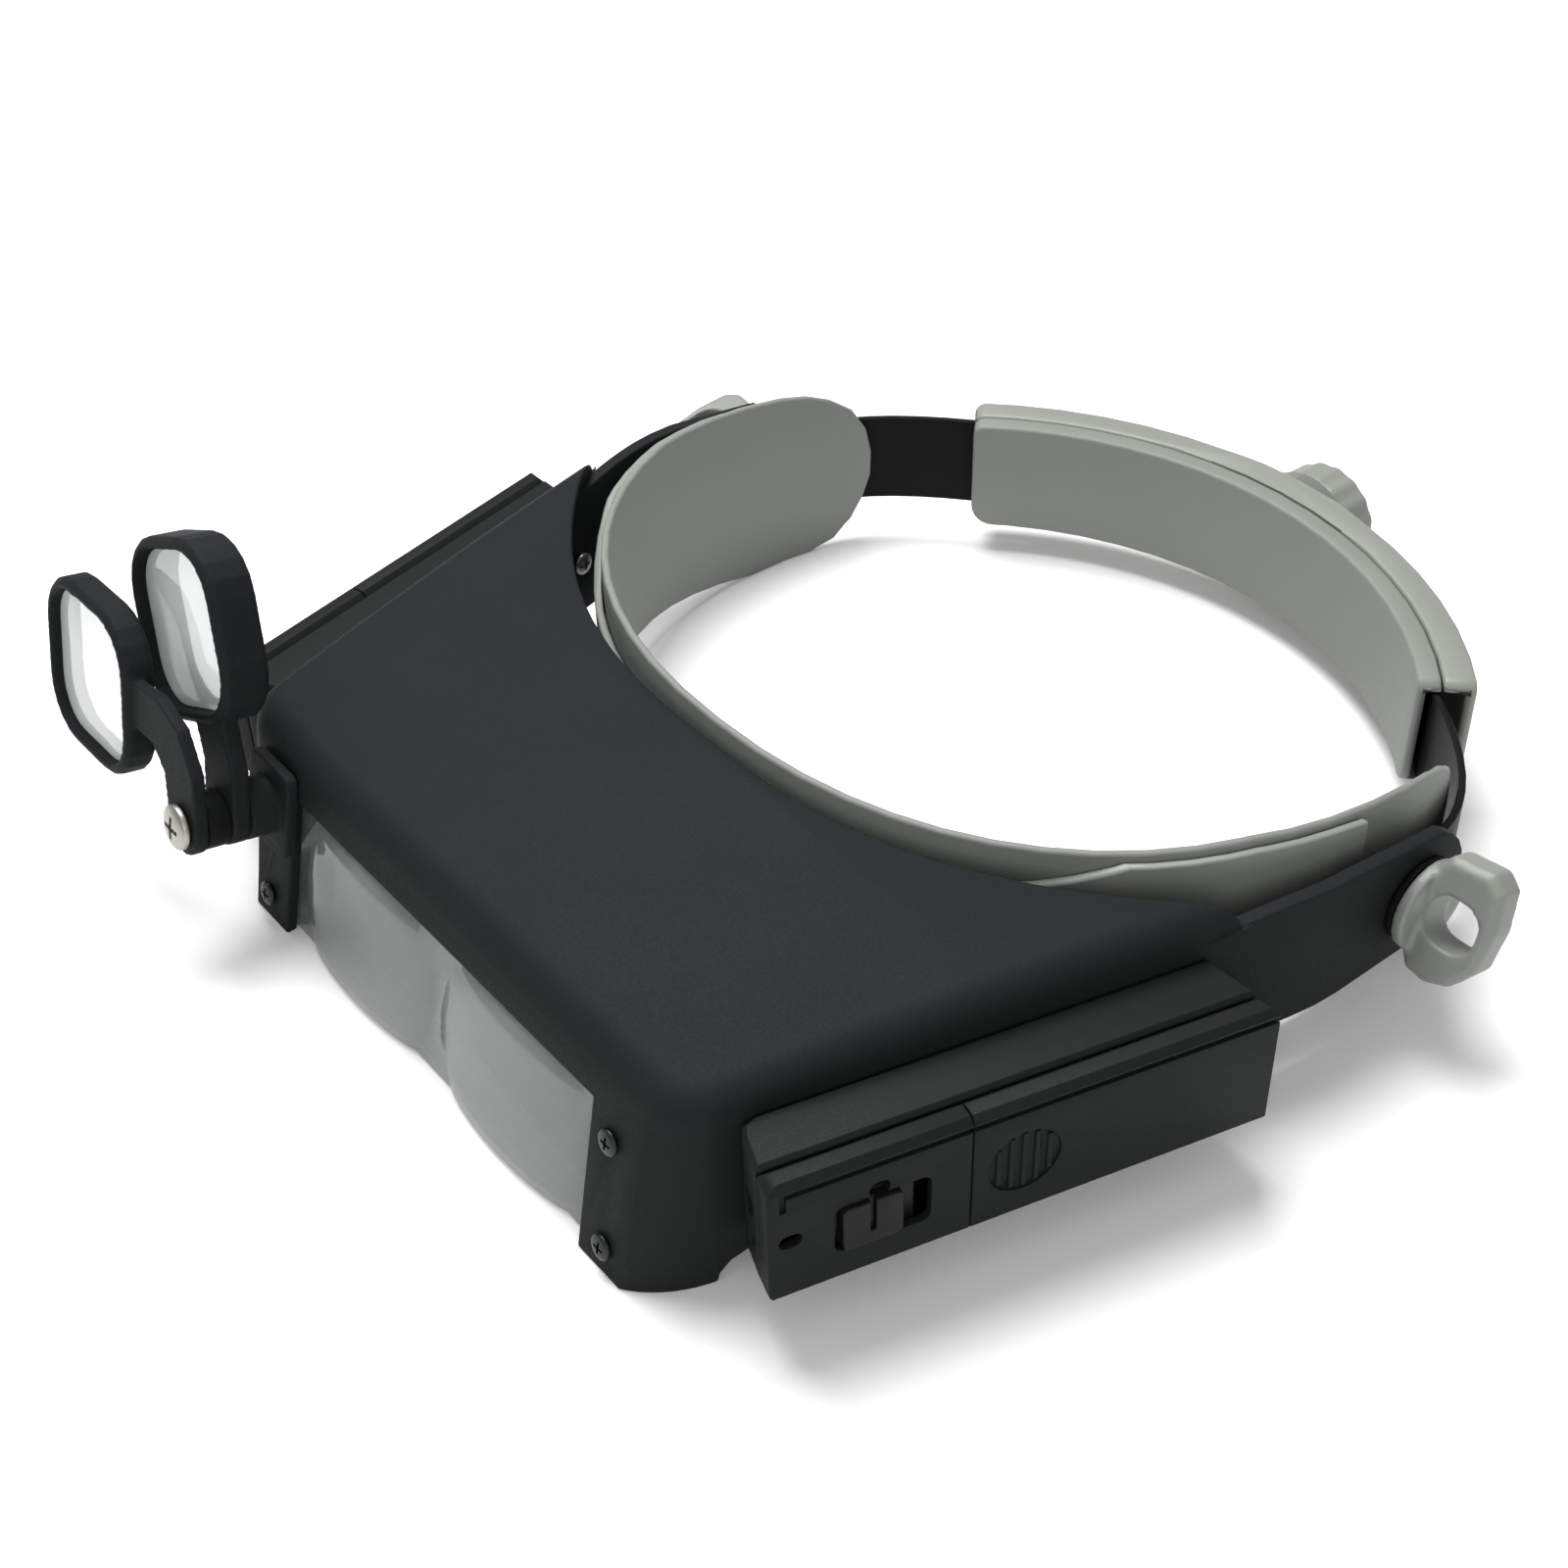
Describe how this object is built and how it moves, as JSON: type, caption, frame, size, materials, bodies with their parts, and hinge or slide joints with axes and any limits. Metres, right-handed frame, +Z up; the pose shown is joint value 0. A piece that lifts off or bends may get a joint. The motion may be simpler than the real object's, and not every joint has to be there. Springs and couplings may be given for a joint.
{
  "type": "head visor magnifier",
  "caption": "Headband magnifier: tilting black visor with a twin-zone lens window, flip-in lens, swing-out loupes, side battery lamps and a grey headband with rear size adjuster.",
  "frame": {"origin": "on the ground, under the centre of the object's bounding box", "axes": "+Z up, -Y is the way the wearer faces, +X is the wearer's left"},
  "size_m": [0.2324, 0.2575, 0.0787],
  "materials": {
    "shell_plastic": "fine matte grain",
    "lamp_plastic": "satin",
    "strap_plastic": "satin",
    "switch_plastic": "semi-gloss",
    "grey_plastic": "satin",
    "grey_liner": "soft matte",
    "lens_acrylic": "clear polished",
    "loupe_glass": "clear polished",
    "screw_steel": "plated",
    "black_screw": "blackened",
    "pale_steel": "nickel plated, slightly warm",
    "led_resin": "clear resin",
    "cell_jacket": "printed film over a can"
  },
  "bodies": {
    "headband": {"sweatband": "grey_liner", "front_band": "grey_plastic", "left_strap": "strap_plastic", "right_strap": "strap_plastic", "left_tilt_bolt": "screw_steel", "right_tilt_bolt": "screw_steel", "left_inner_washer": "strap_plastic", "right_inner_washer": "strap_plastic"},
    "visor": {"visor_shell": "shell_plastic", "main_lens": "lens_acrylic", "left_upper_lens_screw": "black_screw", "left_lower_lens_screw": "black_screw", "right_lower_lens_screw": "black_screw", "loupe_bracket": "shell_plastic", "loupe_spacer": "strap_plastic", "loupe_pivot_screw": "pale_steel", "left_outer_washer": "strap_plastic", "right_outer_washer": "strap_plastic", "left_flip_lens_pin": "screw_steel", "right_flip_lens_pin": "screw_steel", "left_lamp_housing": "lamp_plastic", "right_lamp_housing": "lamp_plastic", "left_switch_cover": "lamp_plastic", "right_switch_cover": "lamp_plastic", "left_led_lamp": "led_resin", "right_led_lamp": "led_resin", "left_upper_cell": "cell_jacket", "right_upper_cell": "cell_jacket", "left_lower_cell": "cell_jacket", "right_lower_cell": "cell_jacket", "left_front_contact": "screw_steel", "right_front_contact": "screw_steel", "left_rear_contact": "screw_steel", "right_rear_contact": "screw_steel", "left_rear_housing_screw": "screw_steel", "right_rear_housing_screw": "screw_steel", "left_front_housing_screw": "screw_steel", "right_front_housing_screw": "screw_steel"},
    "flip_lens": {"flip_lens": "lens_acrylic"},
    "front_loupe": {"front_loupe_frame": "shell_plastic", "front_loupe_lens": "loupe_glass"},
    "rear_loupe": {"rear_loupe_frame": "shell_plastic", "rear_loupe_lens": "loupe_glass"},
    "rear_housing": {"rear_housing_inner": "grey_liner", "rear_housing_outer": "grey_plastic"},
    "adjuster": {"adjuster_knob": "grey_plastic", "adjuster_pinion": "strap_plastic"},
    "left_switch": {"left_switch_slider": "switch_plastic"},
    "right_switch": {"right_switch_slider": "switch_plastic"},
    "left_door": {"left_battery_door": "lamp_plastic"},
    "right_door": {"right_battery_door": "lamp_plastic"},
    "left_knob": {"left_tilt_knob": "grey_plastic"},
    "right_knob": {"right_tilt_knob": "grey_plastic"}
  },
  "joints": [
    {"name": "visor_tilt", "type": "hinge", "parent": "headband", "child": "visor", "pos_m": [0, 0.036, 0.0267], "axis": [-1, 0, 0], "range_deg": [-8, 65]},
    {"name": "flip_lens_swing", "type": "hinge", "parent": "visor", "child": "flip_lens", "pos_m": [0, -0.09667, 0.0361], "axis": [1, 0, 0], "range_deg": [0, 75]},
    {"name": "front_loupe_swing", "type": "hinge", "parent": "visor", "child": "front_loupe", "pos_m": [-0.0539, -0.128, 0.0324], "axis": [0, 0.979, -0.2036], "range_deg": [-25, 200]},
    {"name": "rear_loupe_swing", "type": "hinge", "parent": "visor", "child": "rear_loupe", "pos_m": [-0.0539, -0.128, 0.0324], "axis": [0, 0.979, -0.2036], "range_deg": [-60, 155]},
    {"name": "size_slide", "type": "slide", "parent": "headband", "child": "rear_housing", "axis": [0, 1, 0], "range_m": [0, 0.02], "deforming": ["left_strap", "right_strap"]},
    {"name": "adjuster_spin", "type": "hinge", "parent": "rear_housing", "child": "adjuster", "pos_m": [0, 0.116, 0.02025], "axis": [0, 1, 0], "range_deg": [0, 230]},
    {"name": "left_switch_slide", "type": "slide", "parent": "visor", "child": "left_switch", "axis": [0.2487, 0.9686, 0], "range_m": [0, 0.004]},
    {"name": "right_switch_slide", "type": "slide", "parent": "visor", "child": "right_switch", "axis": [-0.2487, 0.9686, 0], "range_m": [0, 0.004]},
    {"name": "left_door_slide", "type": "slide", "parent": "visor", "child": "left_door", "axis": [0.2487, 0.9686, 0], "range_m": [0, 0.03]},
    {"name": "right_door_slide", "type": "slide", "parent": "visor", "child": "right_door", "axis": [-0.2487, 0.9686, 0], "range_m": [0, 0.03]},
    {"name": "left_knob_spin", "type": "hinge", "parent": "headband", "child": "left_knob", "pos_m": [0.105, 0.036, 0.0267], "axis": [1, 0, 0], "continuous": true},
    {"name": "right_knob_spin", "type": "hinge", "parent": "headband", "child": "right_knob", "pos_m": [-0.105, 0.036, 0.0267], "axis": [-1, 0, 0], "continuous": true}
  ],
  "couplings": [
    {"joint": "adjuster_spin", "follows": "size_slide", "rad_per_m": 200}
  ]
}
